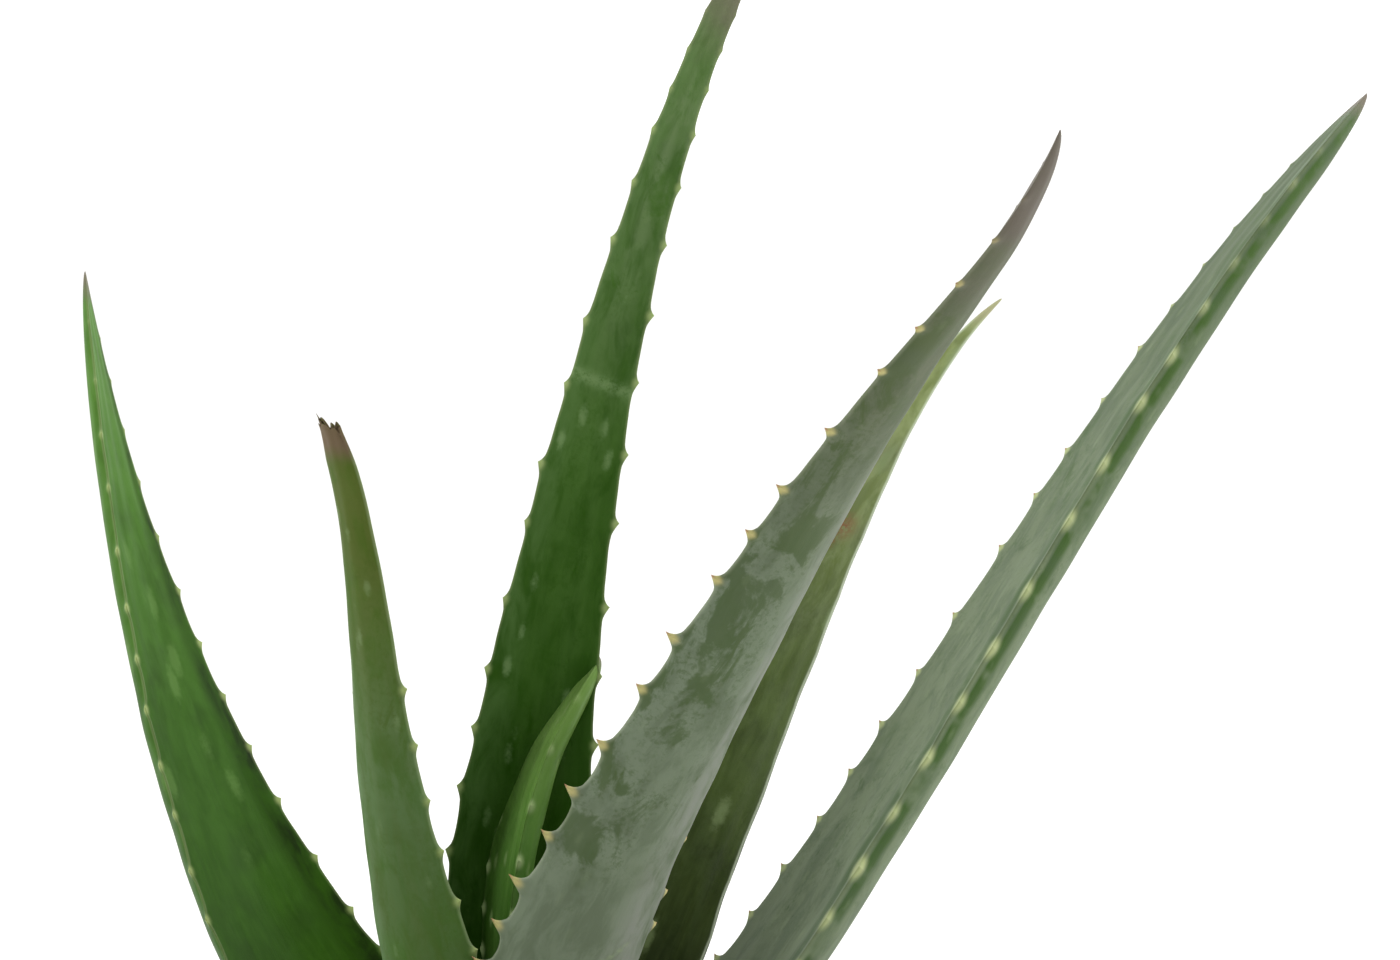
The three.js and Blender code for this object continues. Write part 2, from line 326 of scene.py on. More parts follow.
@dataclass(frozen=True)
class LeafSkin:
    """Living aloe skin: a thick green hide under a thin grey wax bloom.

    The wax scatters light, so the skin looks matte and grey-green where the bloom is whole, and a deeper,
    glossier green where it is rubbed off. The teeth on its thin pale margin run from cream to a brown point.
    """

    name: str
    # The colour towards the base: on the darker skins a painted shade deep in the rosette.
    foot: str
    core: str
    upper: str
    bloom: str
    far_bloom: str
    # The colour painted along one side of a leaf: painted shade where it is dark, a painted sheen where it is
    # pale.
    side_shade_and_sheen: str = "74796c"
    fleck: str = "8a9a74"
    margin: str = "98a476"
    tooth: str = "98a86a"
    point: str = "a06a48"
    dry: str = "6d6255"
    blemish: str = "7d4a34"
    inner_bloom: float = 0.3
    outer_bloom: float = 0.4
    patches: float = 0.5
    speckle: float = 0.4
    streaks: float = 0.2
    flecks: float = 0.5
    fleck_size: float = 5.5
    fleck_reach: float = 0.36
    mottle: float = 0.6
    # How strongly painted shade darkens the folds beside a margin, on the inner face and on the outer one.
    fold_shade_in: float = 0.3
    fold_shade_out: float = 0.0
    foot_from: float = 0.02
    foot_to: float = 0.42
    base_bloom: float = 0.1
    margin_line: float = 0.35
    dry_from: float = 0.975
    dry_run: float = 0.03
    spots: float = 0.6
    sheen: float = 0.08
    roughness: float = 0.42

    FIBRE = 2.2
    CRUMB = 1.6
    GRAIN = 0.35
    STAIN = 5.5
    STREAK = 9
    PATCH = 13
    CLOUD = 16

    def material(self) -> Material:
        """Builds the skin's material and returns it."""
        made = bpy.data.materials.get(self.name)
        if made:
            return made
        made = bpy.data.materials.new(self.name)
        paint = Painter.of(made)
        place = add_node(paint.tree, "Attribute", attribute_name="leaf_place").outputs["Vector"]
        run, edge = paint.mark("leaf_run"), paint.mark("edge_mm")
        tooth, inner = paint.mark("tooth"), paint.mark("inner_face")

        # Fibres run the length of a leaf: about 2 mm apart and ten times as long as they are wide.
        lengthwise = paint.stretched(place, (1, 0.1, 1))
        fibres = paint.noise(lengthwise, self.FIBRE, 4)
        clouds = paint.noise(place, self.CLOUD, 3)
        crumbs = paint.noise(place, self.CRUMB, 5, roughness=0.7)
        # Towards the base the flesh turns to the foot colour, which on the darker skins is painted shade deep
        # in the rosette.
        flesh = paint.coats(
            self.foot,
            (paint.spread(run, self.foot_from, self.foot_to), self.core),
            (paint.spread(run, 0.45, 1.0), self.upper),
            (paint.spread(fibres, 0.35, 0.72, self.streaks), self.upper),
            (paint.spread(clouds, 0.45, 0.75, 0.5), self.foot),
        )

        # The wax is thinner at the foot and over clouds of darker flesh, and mottled by running stains.
        running = paint.stretched(place, (1, 0.35, 1))
        murk = paint.noise(running, self.STAIN, 4, roughness=0.62, distortion=0.5)
        cover = paint.ramp(inner, 0.0, 1.0, self.outer_bloom, self.inner_bloom)
        bloom = paint.times(cover, paint.calc("SUBTRACT", 1.0, self.rubbed(paint, place, crumbs, clouds)))
        bloom = paint.times(bloom, paint.spread(clouds, 0.1, 0.45))
        bloom = paint.times(bloom, paint.ramp(run, 0.15, 0.6, self.base_bloom, 1.0))
        wax = paint.coats(
            self.bloom,
            (paint.spread(run, 0.5, 0.85), self.far_bloom),
            (paint.spread(murk, 0.4, 0.66, self.mottle), self.foot),
        )

        # The outermost skin dries and frays at the tip.
        frayed = paint.calc("ADD", run, paint.times(clouds, self.dry_run))
        dried = paint.spread(frayed, self.dry_from, self.dry_from + self.dry_run * 1.3, 0.92)
        colour = paint.coats(
            flesh,
            (bloom, wax),
            # Painted light along one side of a leaf: a painted shade on the dark skins, a painted sheen on the
            # pale ones.
            (paint.times(paint.mark("side_shade_and_sheen"), paint.spread(murk, 0.75, 0.3)), self.side_shade_and_sheen),
            (self.flecked(paint, place, lengthwise, crumbs), self.fleck),
            (paint.spread(edge, 0.9, 0.1, self.margin_line), self.margin),
            (paint.spread(paint.mark("tooth_base"), 0.12, 0.8, self.spots), self.tooth),
            (paint.spread(tooth, 0.22, 0.62), self.tooth),
            (paint.spread(tooth, 0.72, 0.98), self.point),
            (paint.times(paint.mark("scar"), paint.spread(crumbs, 0.3, 0.6)), self.fleck),
            (paint.times(paint.mark("blemish"), paint.spread(crumbs, 0.3, 0.55)), self.blemish),
            (dried, self.dry),
        )
        paint.surface({
            "Base Color": colour,
            "Roughness": paint.ramp(bloom, 0.0, 1.0, self.roughness - 0.06, self.roughness + 0.16),
            "Normal": paint.relief(0.2, (fibres, 0.4), (paint.noise(place, self.GRAIN, 3), 0.15)),
            "IOR": 1.45,
            "Specular IOR Level": self.sheen,
            "Subsurface Weight": 0.06,
            "Subsurface Radius": (0.6, 1.0, 0.3),
            "Subsurface Scale": 1.5 * MM,
        })
        return made

    def rubbed(self, paint: Painter, place: object, crumbs: object, clouds: object) -> Socket:
        """Finds where the bloom is gone: rubbed off in sharp-edged, running patches some 13 mm across, and
        taken from the folds beside a margin as painted shade.

        Args:
            paint: the material's painter.
            place: the coordinates' output.
            crumbs: the fine pattern that breaks up the patches' edges.
            clouds: the broad pattern that breaks up the folds.

        Returns:
            The output that is 0 where the bloom is whole and 1 where it is gone.
        """
        edge = paint.mark("edge_mm")
        blots = paint.noise(paint.stretched(place, (1, 0.5, 1)), self.PATCH, 6, roughness=0.6, distortion=1.4)
        blots = paint.calc("ADD", blots, paint.times(paint.mark("rub_zone"), 0.22))
        blots = paint.calc("ADD", blots, paint.times(crumbs, 0.1))
        bare = paint.spread(blots, 0.74, 0.84, self.patches)
        specks = paint.times(paint.spread(crumbs, 0.45, 0.66), paint.spread(blots, 0.55, 0.85, self.speckle))
        # Painted shade: little bloom stays in the folds beside a margin, so the darker flesh shows there.
        beside = paint.times(paint.spread(edge, 0.6, 1.6), paint.spread(edge, 6.0, 3.0))
        face = paint.ramp(paint.mark("inner_face"), 0.0, 1.0, self.fold_shade_out, self.fold_shade_in)
        broken = paint.times(paint.mark("shaded_folds"), paint.spread(clouds, 0.34, 0.5))
        fold_shade = paint.times(paint.times(beside, face), broken)
        return paint.calc("MAXIMUM", paint.calc("MAXIMUM", bare, specks), fold_shade)

    def flecked(self, paint: Painter, place: object, lengthwise: object, crumbs: object) -> Socket:
        """Finds the pale flecks: ragged, over twice as long as they are wide, and missing in broad streaks.

        Args:
            paint: the material's painter.
            place: the coordinates' output.
            lengthwise: the coordinates stretched along the leaf.
            crumbs: the fine pattern that makes them ragged.

        Returns:
            The output that is 0 beside a fleck and full on it.
        """
        cells = {"Vector": paint.stretched(place, (1, 0.42, 1)), "Scale": 1 / (self.fleck_size * MM)}
        spots = add_node(paint.tree, "TexVoronoi", cells)
        ragged = paint.calc("ADD", spots.outputs["Distance"], paint.times(crumbs, 0.24))
        streaks = paint.noise(lengthwise, self.STREAK, 2)
        return paint.times(
            paint.spread(ragged, self.fleck_reach, self.fleck_reach - 0.2),
            paint.spread(streaks, 0.2, 0.45, self.flecks),
        )


@dataclass(frozen=True)
class MineralFinish:
    """A dull, open mineral surface: fired clay, grit or soil, mottled by two noises and a pale crust."""

    name: str
    body: str
    shade: str
    crust: str
    blotch: float
    grit: float = 0.5
    crust_amount: float = 0.3
    crust_low: float = 0.0
    crust_high: float = 0.0
    roughness: float = 0.95
    bump: float = 0.7

    TURNING = 2.5

    def material(self) -> Material:
        """Builds the finish's material and returns it."""
        made = bpy.data.materials.get(self.name)
        if made:
            return made
        made = bpy.data.materials.new(self.name)
        paint = Painter.of(made)
        place = add_node(paint.tree, "TexCoord").outputs["Object"]
        blotches = paint.noise(place, self.blotch, 5, 0.6)
        grit = paint.noise(place, self.grit, 3, 0.6)
        crust = paint.spread(paint.noise(place, self.blotch * 1.7, 7, 0.68), 0.5, 0.68, self.crust_amount)
        if self.crust_high > self.crust_low:
            height = add_node(paint.tree, "SeparateXYZ", {0: place}).outputs[2]
            crust = paint.times(crust, paint.spread(height, self.crust_low, self.crust_high))
        colour = paint.coats(
            self.body,
            (paint.spread(blotches, 0.35, 0.68), self.shade),
            (paint.spread(grit, 0.45, 0.75, 0.35), self.shade),
            (crust, self.crust),
        )
        # A potter's fingers leave fine rings, and grit breaks them up.
        rings = paint.noise(paint.stretched(place, (0.06, 0.06, 1)), self.TURNING, 3)
        normal = paint.relief(self.bump, (rings, 0.25), (grit, 0.2))
        paint.surface({"Base Color": colour, "Roughness": self.roughness, "IOR": 1.45, "Normal": normal})
        return made


# Red clay, clouded by the kiln and bleached by hard water towards its rim: warm, dry and chalky.
TERRACOTTA = MineralFinish(
    "fired_terracotta", body="b5714d", shade="a35f3f", crust="cbb39c", blotch=26, grit=0.7,
    crust_amount=0.45, crust_low=0.035, crust_high=0.1, roughness=0.86, bump=0.35,
)
# Damp peat: near black and crumbly, so the leaves above it stand out.
PEAT = MineralFinish(
    "damp_peat_mix", body="35271c", shade="1d140d", crust="59473a", blotch=7, grit=0.9,
    crust_amount=0.35, bump=0.9,
)
# Loose crumbs, a little drier and browner than the peat they lie on.
CRUMB = MineralFinish("peat_crumb", body="4a382a", shade="241910", crust="6b5644", blotch=5)
# Chalk-white specks that make the mix read as gritty.
PUMICE = MineralFinish(
    "pumice_grit", body="cfc8ba", shade="a39a8a", crust="e4dfd4", blotch=3, grit=0.4, roughness=0.9,
)
# Flat red-brown chips.
BARK = MineralFinish(
    "bark_chip", body="6b452c", shade="432a1a", crust="8a6547", blotch=4, grit=0.6, roughness=0.9,
    bump=0.6,
)
# Dry olive skin with grey-brown rings, where older leaves were shed.
CORK = MineralFinish(
    "corky_stem_skin", body="8a8455", shade="5e5636", crust="a39c74", blotch=6, roughness=0.7, bump=0.5,
)


# ---- Leaves ----


class Tip(Enum):
    """How a leaf ends."""

    POINTED = "pointed"
    TORN = "torn"


@dataclass
class Leaf:
    """One aloe leaf, from its clasping base to its tip. Lengths are in millimetres and angles in degrees.

    The centre line starts at the seat on the stem and follows the lean from the vertical, the sideways sweep
    and the twist. The section is a hollow inner face over a round outer one, with teeth along both margins.
    """

    node: str
    skin: LeafSkin
    slot: str
    bearing: float
    seat_radius: float
    seat_rise: float
    length: float
    width: float
    taper: float
    tip_share: float
    thickness: float
    channel: float
    lean: list[float]
    sweep: list[float]
    twist: list[float]
    tip: Tip = Tip.POINTED
    seed: int = 1
    tooth_pitch: tuple[float, float] = (13.0, 18.0)
    tooth_length: tuple[float, float] = (2.0, 2.0)
    first_tooth: float = 34.0
    teeth_end: float = 12.0
    rub_zone: tuple[float, float, float] = (0.2, 0.9, 0.0)
    # The painted side shade and sheen: its strength, whose sign picks the side, and where across the section
    # it starts and where it is full.
    side_shade_and_sheen: tuple[float, float, float] = (0.0, 0.0, 0.7)
    tooth_places: dict[int, tuple[float, ...]] = field(default_factory=dict)
    spot: tuple[float, float] = (1.6, 1.1)
    spotted_margins: tuple[int, ...] = (1, -1)
    rubs: tuple[tuple[float, float, float], ...] = ()
    scars: list[tuple[float, float, float, float, float, float]] = field(default_factory=list)
    blemishes: list[tuple[float, float, float]] = field(default_factory=list)

    COLUMNS = 64
    WALK_STEPS = 480
    RING_STEP = 1.7
    LEAST_STEP = 0.11
    TOOTH_RINGS = (0.12, 0.35, 0.65, 1.05, 1.55, 2.3, 3.2, 4.4, 5.8)
    TIP_RINGS = 12
    TIP_SHARE_RINGED = 0.03
    TIP_CLOSING_POWER = 24
    OUTER_FACE_POWER = 1.2
    SHEATH_LENGTH = 42.0
    SHEATH_THINNING = 0.55
    SWELLS = ((0.30, 61), (0.18, 27))
    WAVERS = ((0.35, 43), (0.20, 19))
    RIB_HEIGHT = 0.10
    RIB_TURNS = 9
    EVEN_HALF_WIDTH = 12
    TOOTH_ROOT = 1.05
    SPIKE_REACH = 3.0
    FLARE_REACH = 7.5
    FULL_TOOTH = 2.2
    TORN_LENGTH = 13
    TORN_HOLLOW = 4
    RUB_REACH = (4.5, 9.0)

    def axes(self, t: Array) -> tuple[Array, Array, Array]:
        """Finds the leaf's own directions.

        Args:
            t: places along the leaf, 0 to 1.

        Returns:
            Directions along the leaf, across it, and out of its hollow face.
        """
        lean = np.radians(bezier(self.lean, t))
        sweep = np.radians(bezier(self.sweep, t))
        twist = np.radians(bezier(self.twist, t))[:, None]
        bearing = math.radians(self.bearing)

        def turned(x: Array, y: Array, z: Array) -> Array:
            """Turns directions about the plant's upright axis to the leaf's bearing."""
            cos, sin = math.cos(bearing), math.sin(bearing)
            return np.stack([x * cos - y * sin, x * sin + y * cos, z], -1)

        along = turned(np.sin(lean) * np.cos(sweep), np.sin(sweep), np.cos(lean) * np.cos(sweep))
        across = turned(-np.sin(lean) * np.sin(sweep), np.cos(sweep), -np.cos(lean) * np.sin(sweep))
        inward = turned(-np.cos(lean), 0 * lean, np.sin(lean))
        return (
            along,
            across * np.cos(twist) - inward * np.sin(twist),
            inward * np.cos(twist) + across * np.sin(twist),
        )

    def centre_line(self, soil_top: float, distance: Array) -> Array:
        """Walks the leaf's centre line.

        Args:
            soil_top: the soil's highest point, in millimetres.
            distance: distances along the leaf, in millimetres. Past the tip it runs straight on.

        Returns:
            The points, in millimetres.
        """
        steps = self.WALK_STEPS
        middle = (np.arange(steps) + 0.5) / steps
        walked = np.cumsum(self.axes(middle)[0] * self.length / steps, axis=0)
        bearing = math.radians(self.bearing)
        reach = self.seat_radius
        rise = soil_top + self.seat_rise
        seat = np.array([reach * math.cos(bearing), reach * math.sin(bearing), rise])
        line = np.vstack([seat, seat + walked])
        mesh = np.linspace(0, self.length, steps + 1)
        points = np.stack([np.interp(distance, mesh, line[:, k]) for k in range(3)], -1)
        beyond = np.clip(distance - self.length, 0, None)[:, None]
        return points + self.axes(np.array([1.0]))[0] * beyond

    def half_width(self, t: Array) -> Array:
        """Returns the distance from the centre line to a margin, in millimetres."""
        tapered = self.tip_share + (1 - self.tip_share) * (1 - t) ** self.taper
        closing = np.sqrt(np.clip(1 - t**self.TIP_CLOSING_POWER, 0, 1)) if self.tip is Tip.POINTED else 1.0
        return self.width / 2 * tapered * closing

    def teeth(self, rng: random.Random, sign: int) -> list[tuple[float, float]]:
        """Spaces one margin's teeth.

        Args:
            rng: the leaf's own source of small differences.
            sign: the margin, 1 for the one on the across side and -1 for the other.

        Returns:
            Each tooth's distance along the leaf and its length, in millimetres.
        """
        longest = self.tooth_length[0] if sign > 0 else self.tooth_length[1]
        places = list(self.tooth_places.get(sign, ()))
        if not places:
            place = self.first_tooth + rng.uniform(-4, 4)
            while place < self.length - self.teeth_end:
                places.append(place)
                t = place / self.length
                pitch = self.tooth_pitch[0] + (self.tooth_pitch[1] - self.tooth_pitch[0]) * t
                pitch *= 1 - 0.45 * float(smooth(np.array(t), 0.86, 1.0))
                place += pitch * rng.uniform(0.86, 1.14)
        found = []
        for place in places:
            t = place / self.length
            worn = 1 - 0.35 * t - 0.4 * float(smooth(np.array(t), 0.6, 1.0))
            found.append((place, longest * worn * rng.uniform(0.8, 1.12)))
        return found

    def ring_places(self, teeth: list[tuple[float, float]]) -> Array:
        """Chooses where the skin has rings: evenly, and closely round each tooth.

        Args:
            teeth: both margins' teeth.

        Returns:
            Distances along the leaf, in millimetres, base first.
        """
        places = list(np.arange(0, self.length, self.RING_STEP))
        for place, _ in teeth:
            places += [place] + [place + side * d for d in self.TOOTH_RINGS for side in (-1, 1)]
        tip = [self.TIP_SHARE_RINGED * (k / self.TIP_RINGS) ** 2 for k in range(self.TIP_RINGS + 1)]
        places += [self.length * (1 - share) for share in tip]
        kept = [0.0]
        for place in sorted(p for p in places if 0 < p <= self.length):
            if place - kept[-1] > self.LEAST_STEP:
                kept.append(place)
        kept[-1] = self.length
        return np.array(kept)

    def build(self, soil_top: float) -> Piece:
        """Models the leaf.

        Args:
            soil_top: the soil's highest point, in millimetres.

        Returns:
            The leaf, dressed and riding on the plant.
        """
        rng = random.Random(self.seed)
        margins = {1: self.teeth(rng, 1), -1: self.teeth(rng, -1)}
        s = self.ring_places(margins[1] + margins[-1])
        angle = np.linspace(0, 2 * math.pi, self.COLUMNS + 1)
        local, edge = self.section(rng, s, angle)
        tooth, halo = self.raise_teeth(margins, s, np.cos(angle), local, edge)
        if self.tip is Tip.TORN:
            self.tear(rng, angle, s, local)

        # The first and last rings close at a point in the middle of the section.
        middle = [np.array([local[k, :, 0].mean(), local[k, 0, 1], local[k, :, 2].mean()]) for k in (0, -1)]
        if self.tip is Tip.TORN:
            middle[1][1] = self.length - self.TORN_HOLLOW
        caps = [np.repeat(point[None, None, :], len(angle), 1) for point in middle]
        local = np.concatenate([caps[0], local, caps[1]])
        t = np.concatenate([s[:1], s, s[-1:]]) / self.length
        marks = self.face_marks(t, angle) | {
            "edge_mm": np.concatenate([edge[:1], edge, edge[-1:] + 9]),
            "tooth": np.concatenate([tooth[:1], tooth, 0 * tooth[:1]]),
            "tooth_base": np.concatenate([halo[:1], halo, 0 * halo[:1]]),
            "rub_zone": self.zone(local, t[:, None], -np.cos(angle)[None, :]),
            "blemish": self.blemish_marks(local),
            "leaf_place": (local + np.array([0, 97.0 * self.seed, 0])) * MM,
            "scar": self.scar_marks(local),
        }
        centre = self.centre_line(soil_top, local[..., 1].ravel()).reshape(local.shape)
        _, side_way, face_way = self.axes(t)
        skin = centre + side_way[:, None, :] * local[..., :1] + face_way[:, None, :] * local[..., 2:]
        piece = rolled_grid("aloe_" + self.node, skin * MM, marks)
        hand_over(piece, self.node, self.skin.material())
        return piece

    def section(self, rng: random.Random, s: Array, angle: Array) -> tuple[Array, Array]:
        """Shapes the toothless leaf in its own straightened space.

        Args:
            rng: the leaf's own source of small differences.
            s: the rings' distances along the leaf.
            angle: the section's angles.

        Returns:
            The points, as offsets across the leaf, along it and out of its hollow face, and their depths from
            the margin.
        """
        side, rise = np.cos(angle), np.sin(angle)
        rise[0] = rise[-1] = 0.0
        t = (s / self.length)[:, None]
        half = self.half_width(t)
        sheath = smooth(s, 0, self.SHEATH_LENGTH)[:, None]
        thick = self.thickness * 2 * half * (1 - self.SHEATH_THINNING * (1 - sheath))
        channel = self.channel * (1 - t) * 2 * half
        outer = -(thick + channel) * np.abs(rise) ** self.OUTER_FACE_POWER
        depth = np.where(rise >= 0, -channel * rise**2, outer)
        edge = half * (1 - np.abs(side)) + 0.55 * np.abs(depth)

        # No leaf is perfectly even: its flesh swells and sinks by a fraction of a millimetre.
        phase = [rng.uniform(0, 2 * math.pi) for _ in range(6)]
        even = np.minimum(half / self.EVEN_HALF_WIDTH, 1)
        lobes = 0.5 + 0.5 * np.sin(2 * angle + phase[2])
        ribs = self.RIB_HEIGHT * np.sin(self.RIB_TURNS * angle + phase[3])
        depth = depth + even * self.waves(self.SWELLS, s, phase[:2]) * lobes * np.abs(rise)
        depth = depth + ribs * np.abs(rise) * np.minimum(half / 10, 1)
        across = side * half + even * self.waves(self.WAVERS, s, phase[4:]) * 0.6 * side
        return np.stack([across, np.repeat(s[:, None], len(angle), 1), depth], -1), edge

    @staticmethod
    def waves(parts: tuple[tuple[float, float], ...], s: Array, phases: list[float]) -> Array:
        """Adds up waves of given heights and lengths along the leaf, and returns them as a column."""
        turns = 2 * math.pi * s[:, None]
        return sum(high * np.sin(turns / long + phase) for (high, long), phase in zip(parts, phases))

    def raise_teeth(
        self, margins: dict[int, list[tuple[float, float]]], s: Array, side: Array,
        local: Array, edge: Array,
    ) -> tuple[Array, Array]:
        """Pulls the teeth out of both margins.

        Args:
            margins: each margin's teeth.
            s: the rings' distances along the leaf.
            side: the columns' places across it, -1 to 1.
            local: the points, which this moves.
            edge: their depths from the margin.

        Returns:
            How much each point belongs to a tooth, and to the pale spot at its root.
        """
        tooth, halo = np.zeros_like(edge), np.zeros_like(edge)
        near = np.exp(-((edge / self.TOOTH_ROOT) ** 2))
        room = np.minimum(self.half_width(s / self.length)[:, None] / 7, 1)
        for sign, row in margins.items():
            on_side = np.sign(side) == sign
            for place, size in row:
                off = np.abs(s - place)[:, None]
                spike = np.clip(1 - off / self.SPIKE_REACH, 0, 1) ** 1.6 * near * on_side
                flare = np.clip(1 - off / self.FLARE_REACH, 0, 1) ** 2.2 * near * on_side
                local[..., 0] += sign * size * (0.6 * spike + 0.4 * flare) * room
                local[..., 1] += 0.35 * size * spike**1.5 * room
                local[..., 2] += 0.25 * size * spike**2 * room
                tooth = np.maximum(tooth, spike * min(1.0, size / self.FULL_TOOTH))
                spot = np.exp(-((off / self.spot[0]) ** 2)) * np.exp(-((edge / self.spot[1]) ** 2))
                spot = spot * on_side * (sign in self.spotted_margins)
                halo = np.maximum(halo, spot * min(1.0, size / 1.2))
        return tooth, halo

    def face_marks(self, t: Array, angle: Array) -> dict[str, Array]:
        """Marks what depends only on a point's share of the length and its place round the section.

        Args:
            t: the rings' places along the leaf, 0 to 1.
            angle: the section's angles.

        Returns:
            The run from base to tip, the inner face, the side with painted shade and sheen, and the margins
            whose folds get painted shade.
        """
        side, rise = np.cos(angle), np.sin(angle)
        rise[0] = rise[-1] = 0.0
        strength, start, full = self.side_shade_and_sheen
        side_shading = abs(strength) * smooth(math.copysign(1, strength) * side, start, full)
        across = {
            "side_shade_and_sheen": side_shading,
            "shaded_folds": np.isin(np.sign(side), self.spotted_margins) * 1.0,
            "inner_face": np.clip(0.5 + rise * 6, 0, 1),
        }
        marks = {name: np.repeat(row[None, :], len(t), 0) for name, row in across.items()}
        return marks | {"leaf_run": np.repeat(t[:, None], len(angle), 1)}

    def zone(self, local: Array, t: Array, side: Array) -> Array:
        """Marks where the bloom is most rubbed.

        Args:
            local: the skin's points in the leaf's own straightened space, in millimetres.
            t: places along the leaf, as a column.
            side: places across it, -1 to 1, as a row.

        Returns:
            How much each point is rubbed, about -1 to 2.
        """
        start, end, lean = self.rub_zone
        inside = smooth(t, start - 0.08, start + 0.08) * (1 - smooth(t, end - 0.08, end + 0.08))
        rubbed = (2 * inside - 1) * 0.5 + lean * side * inside
        for place, across, strength in self.rubs:
            off = np.hypot(
                (local[..., 0] - across) / self.RUB_REACH[0], (local[..., 1] - place) / self.RUB_REACH[1]
            )
            rubbed = rubbed + strength * np.exp(-(off**2))
        return rubbed

    def scar_marks(self, local: Array) -> Array:
        """Marks the pale healed scars that cross the leaf.

        Args:
            local: the skin's points in the leaf's own straightened space, in millimetres.

        Returns:
            How scarred each point is, 0 to 1.
        """
        marks = np.zeros(local.shape[:2])
        for place, breadth, slope, strength, centre, reach in self.scars:
            off = local[..., 1] - place - slope * local[..., 0]
            stroke = strength * np.exp(-((off / breadth) ** 2))
            fade = 1 - smooth(np.abs(local[..., 0] - centre), 0.7 * reach, reach)
            marks = np.maximum(marks, stroke * fade)
        return marks

    def blemish_marks(self, local: Array) -> Array:
        """Marks the round brown blemishes.

        Args:
            local: the skin's points in the leaf's own straightened space, in millimetres.

        Returns:
            How blemished each point is, 0 to 1.
        """
        marks = np.zeros(local.shape[:2])
        for place, across, radius in self.blemishes:
            off = np.hypot(local[..., 1] - place, local[..., 0] - across)
            marks = np.maximum(marks, 0.9 * np.exp(-((off / radius) ** 2)))
        return marks

    def tear(self, rng: random.Random, angle: Array, s: Array, local: Array) -> None:
        """Tears the tip off into dry, ragged points.

        Args:
            rng: the leaf's own source of small differences.
            angle: the section's angles.
            s: the rings' distances along the leaf.
            local: the points, which this moves.
        """
        jags = 2.2 * np.abs(np.sin(1.5 * angle + 0.6)) + 1.5 * np.abs(np.sin(4.5 * angle + rng.uniform(0, 3)))
        pull = smooth(s, self.length - self.TORN_LENGTH, self.length)[:, None]
        curl = smooth(s, self.length - self.TORN_HOLLOW, self.length)[:, None]
        flare = 1 + 0.12 * curl * np.sin(3 * angle)
        local[..., 0] *= (1 - 0.22 * pull) * flare
        local[..., 1] += pull * (jags - 2.5)
        local[..., 2] *= (1 - 0.3 * pull) * flare


# ---- The whole plant ----

# Plain deep green with a thin wax, so it looks fleshy and a little glossy. Its foot colour and its side colour
# are painted shade.
GREEN = LeafSkin(
    "aloe_skin_green", foot="193200", core="2b5204", upper="487a1a", bloom="4f7632", far_bloom="587a3c",
    side_shade_and_sheen="122004", fleck="608440", streaks=0.15, fleck_size=9.0, fleck_reach=0.44, fold_shade_in=0.2,
    base_bloom=0.25, sheen=0.05,
)
# Deep green that pales to grey towards a dry brown tip. Its foot colour is painted shade and its side colour a
# painted sheen.
TALL = LeafSkin(
    "aloe_skin_deep_green", foot="1b4000", core="254b04", upper="476b28", bloom="5e7f42",
    far_bloom="879674", side_shade_and_sheen="54733e", fleck="84a06c", tooth="9aab70", dry="746f5e",
    inner_bloom=0.4, outer_bloom=0.7, patches=0.7, speckle=0.6, fleck_size=7.0, fold_shade_in=0.4,
    dry_from=0.9, dry_run=0.08, sheen=0.06,
)
# Olive green, yellower towards the dry tip. Its foot colour is painted shade and its side colour a painted
# highlight.
TORN = LeafSkin(
    "aloe_skin_olive_green", foot="356000", core="435e26", upper="47561a", bloom="66805a",
    far_bloom="5a672f", side_shade_and_sheen="7d9574", fleck="8aa274", margin="a9b790", dry="6a5845",
    inner_bloom=0.5, outer_bloom=0.5, patches=0.7, speckle=0.6, streaks=0.4, flecks=0.25, mottle=0.55,
    base_bloom=0.05, margin_line=0.3, dry_from=0.955, spots=0.5,
)
# The youngest skin: bright, even and nearly bare of wax. Its foot colour, which reaches far up the leaf, and
# its side colour are painted shade.
YOUNG = LeafSkin(
    "aloe_skin_young_green", foot="1a3a00", core="396618", upper="6a8c42", bloom="668a48",
    far_bloom="80a05c", side_shade_and_sheen="163002", fleck="93a873", tooth="a8ba86", outer_bloom=0.3,
    flecks=0.35, mottle=0.45, foot_from=0.3, foot_to=0.7, margin_line=0.05, spots=0.8,
)
# The thickest wax: chalky grey-green, rubbed to olive in running patches. Its side colour is a painted
# grey-mauve sheen.
GLAUCOUS = LeafSkin(
    "aloe_skin_grey_bloom", foot="46533a", core="3b5022", upper="47562c", bloom="6f7c66",
    far_bloom="5c624b", side_shade_and_sheen="83867f", margin="a8ae96", tooth="b3ab72", point="a87a5c",
    dry="625a51", inner_bloom=0.95, outer_bloom=0.95, patches=0.78, speckle=0.7, flecks=0.1,
    mottle=0.45, fold_shade_in=0.0, base_bloom=1.0, margin_line=0.25, dry_from=0.88, dry_run=0.1, spots=0.15,
    sheen=0.25, roughness=0.46,
)
# Grey-green with a bare fold darkened by painted shade and large cream spots along one margin.
KEELED = LeafSkin(
    "aloe_skin_grey_furrowed", foot="465640", core="2f4f08", upper="36560e", bloom="727f64",
    far_bloom="5d6b50", tooth="a7b17e", inner_bloom=0.9, outer_bloom=0.82, patches=0.6, speckle=0.45,
    streaks=0.3, flecks=0.2, mottle=0.45, fold_shade_in=0.95, fold_shade_out=0.95, base_bloom=1.0, margin_line=0.1,
    spots=0.95, sheen=0.2, roughness=0.46,
)
